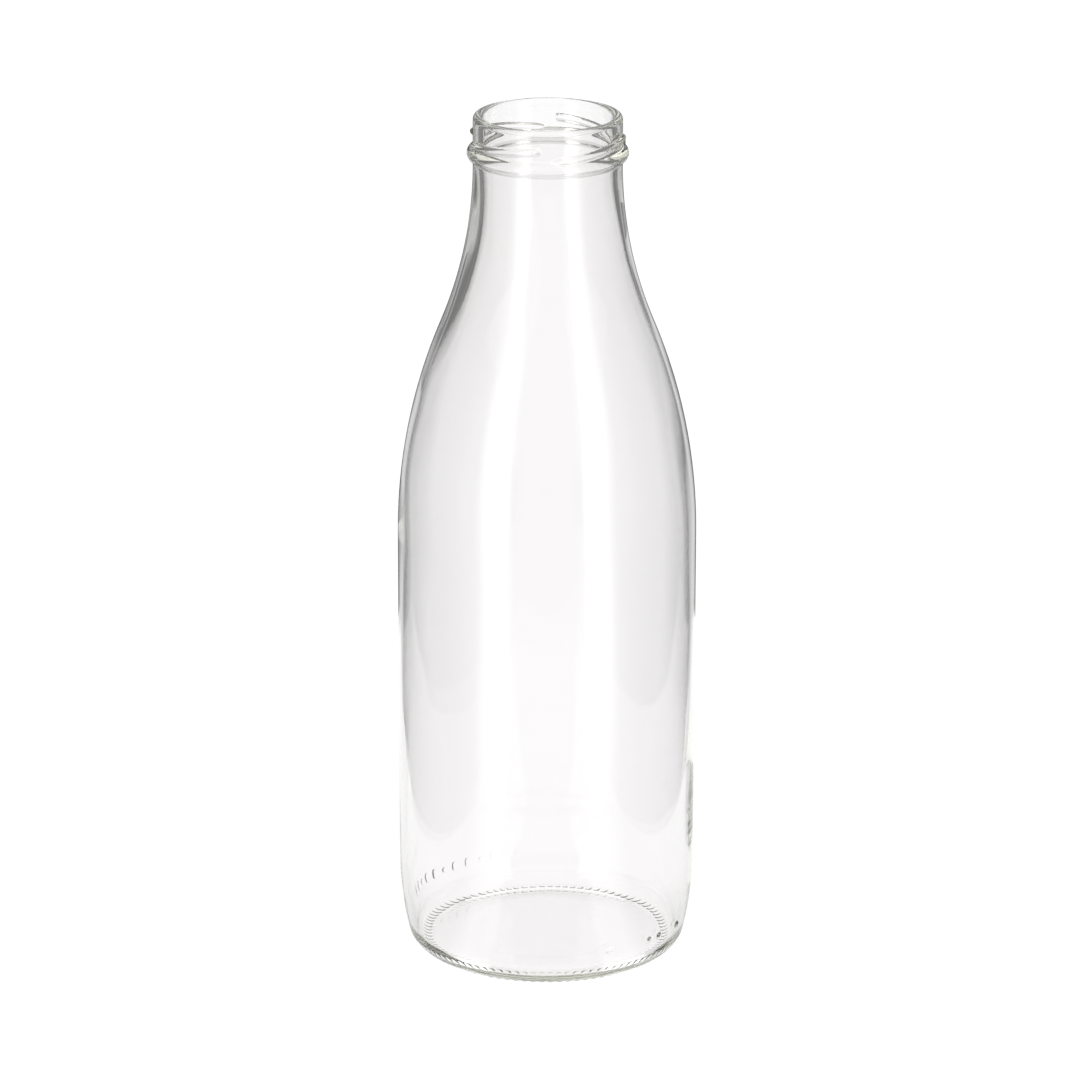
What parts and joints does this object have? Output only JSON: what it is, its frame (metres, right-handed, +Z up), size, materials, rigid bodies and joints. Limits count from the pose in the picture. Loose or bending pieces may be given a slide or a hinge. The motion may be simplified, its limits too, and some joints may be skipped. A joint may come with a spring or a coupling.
{
  "type": "milk bottle",
  "caption": "Wide-mouth one-litre milk bottle in clear glass, with a long rounded shoulder, a lug finish for a twist-off cap, a closure bead and a knurled standing ring.",
  "frame": {"origin": "on the bottle's axis, in the plane of the knurled ring that it stands on", "axes": "+Z up along the bottle's axis, out of the mouth; -Y is the side with the four round pips on the heel"},
  "size_m": [0.088, 0.088, 0.255],
  "materials": {
    "clear_glass": "clear, fire-polished, faint green-grey tint in thick glass"
  },
  "bodies": {
    "root": {"bottle": "clear_glass"}
  },
  "joints": []
}
